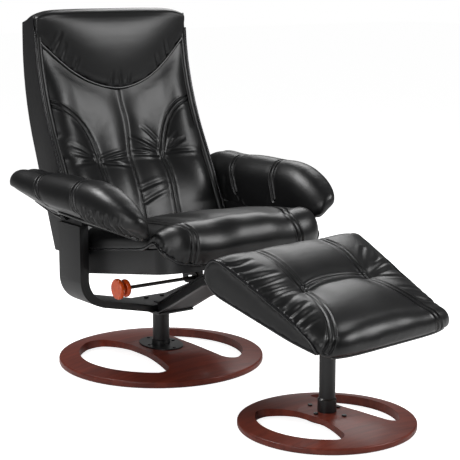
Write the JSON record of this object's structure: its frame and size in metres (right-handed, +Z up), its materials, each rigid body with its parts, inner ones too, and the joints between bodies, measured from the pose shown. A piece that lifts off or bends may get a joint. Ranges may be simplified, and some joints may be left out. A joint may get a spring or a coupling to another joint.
{
  "type": "swivel recliner with footstool",
  "caption": "Padded swivel recliner: a U-shaped cradle on a domed round wooden base carries the arms, sliding seat and tilting back, with a matching sloped footstool.",
  "frame": {"origin": "on the floor, on the chair's swivel axis", "axes": "+Z up, -Y the way the chair faces, +X the sitter's left"},
  "size_m": [0.7938, 1.3498, 1.0363],
  "materials": {
    "cherry_wood": "satin cherry stain, lacquered",
    "knob_wood": "gloss cherry lacquer",
    "frame_wood": "bare",
    "black_steel": "semi-gloss black",
    "grey_steel": "grey hammered paint",
    "bright_steel": "zinc plated",
    "black_vinyl": "semi-gloss black grain",
    "black_rubber": "matte",
    "bush_plastic": "natural",
    "black_webbing": "woven",
    "dust_cloth": "woven black"
  },
  "bodies": {
    "chair_base": {"chair_base_disc": "cherry_wood", "chair_floor_ring": "black_rubber", "chair_post_flange": "black_steel", "chair_flange_screws": "black_steel", "chair_post": "black_steel", "swivel_bushes": "bush_plastic", "swivel_thrust_washer": "bush_plastic"},
    "swivel_frame": {"swivel_spindle": "bright_steel", "spindle_retainer": "bright_steel", "hub_plate": "black_steel", "cradle_band": "black_vinyl", "hub_bolts": "black_steel", "left_band_cover": "black_vinyl", "right_band_cover": "black_vinyl", "left_rail": "black_steel", "right_rail": "black_steel", "rail_cross_plate": "grey_steel", "clamp_nut": "bright_steel", "back_pivot_studs": "bright_steel", "pivot_screws": "bright_steel", "left_arm_board": "frame_wood", "right_arm_board": "frame_wood", "arm_bolts": "bright_steel", "left_arm_pad": "black_vinyl", "right_arm_pad": "black_vinyl"},
    "knob": {"knob_rod": "bright_steel", "tension_knob": "knob_wood"},
    "seat": {"seat_frame": "frame_wood", "seat_cover": "black_vinyl", "seat_dust_cover": "dust_cloth", "seat_webbing": "black_webbing", "seat_cushion": "black_vinyl", "left_seat_bracket": "black_steel", "right_seat_bracket": "black_steel", "seat_bracket_screws": "bright_steel"},
    "back": {"back_cover": "black_vinyl", "back_frame": "frame_wood", "back_pivot_bushes": "bush_plastic", "back_webbing": "black_webbing", "back_cushion": "black_vinyl", "headrest_pillow": "black_vinyl"},
    "footstool": {"footstool_base_disc": "cherry_wood", "footstool_floor_ring": "black_rubber", "footstool_base_plate": "black_steel", "footstool_base_bolts": "black_steel", "footstool_post": "black_steel", "footstool_mount_plate": "black_steel", "footstool_plate_screws": "bright_steel", "footstool_board": "frame_wood", "footstool_cushion": "black_vinyl"}
  },
  "joints": [
    {"name": "chair_swivel", "type": "hinge", "parent": "chair_base", "child": "swivel_frame", "pos_m": [0, 0, 0], "axis": [0, 0, 1], "continuous": true},
    {"name": "recline", "type": "hinge", "parent": "swivel_frame", "child": "back", "pos_m": [0, 0.05, 0.385], "axis": [-1, 0, 0], "range_deg": [0, 28]},
    {"name": "seat_slide", "type": "slide", "parent": "swivel_frame", "child": "seat", "axis": [0, -0.9869, 0.1616], "range_m": [0, 0.0367]},
    {"name": "knob_turn", "type": "hinge", "parent": "swivel_frame", "child": "knob", "pos_m": [0, -0.245, 0.303], "axis": [1, 0, 0], "range_deg": [0, 180]},
    {"name": "footstool_place", "type": "slide", "parent": "chair_base", "child": "footstool", "axis": [0, -1, 0], "range_m": [0, 0.35]}
  ],
  "couplings": [
    {"joint": "seat_slide", "follows": "recline", "m_per_rad": 0.075}
  ]
}
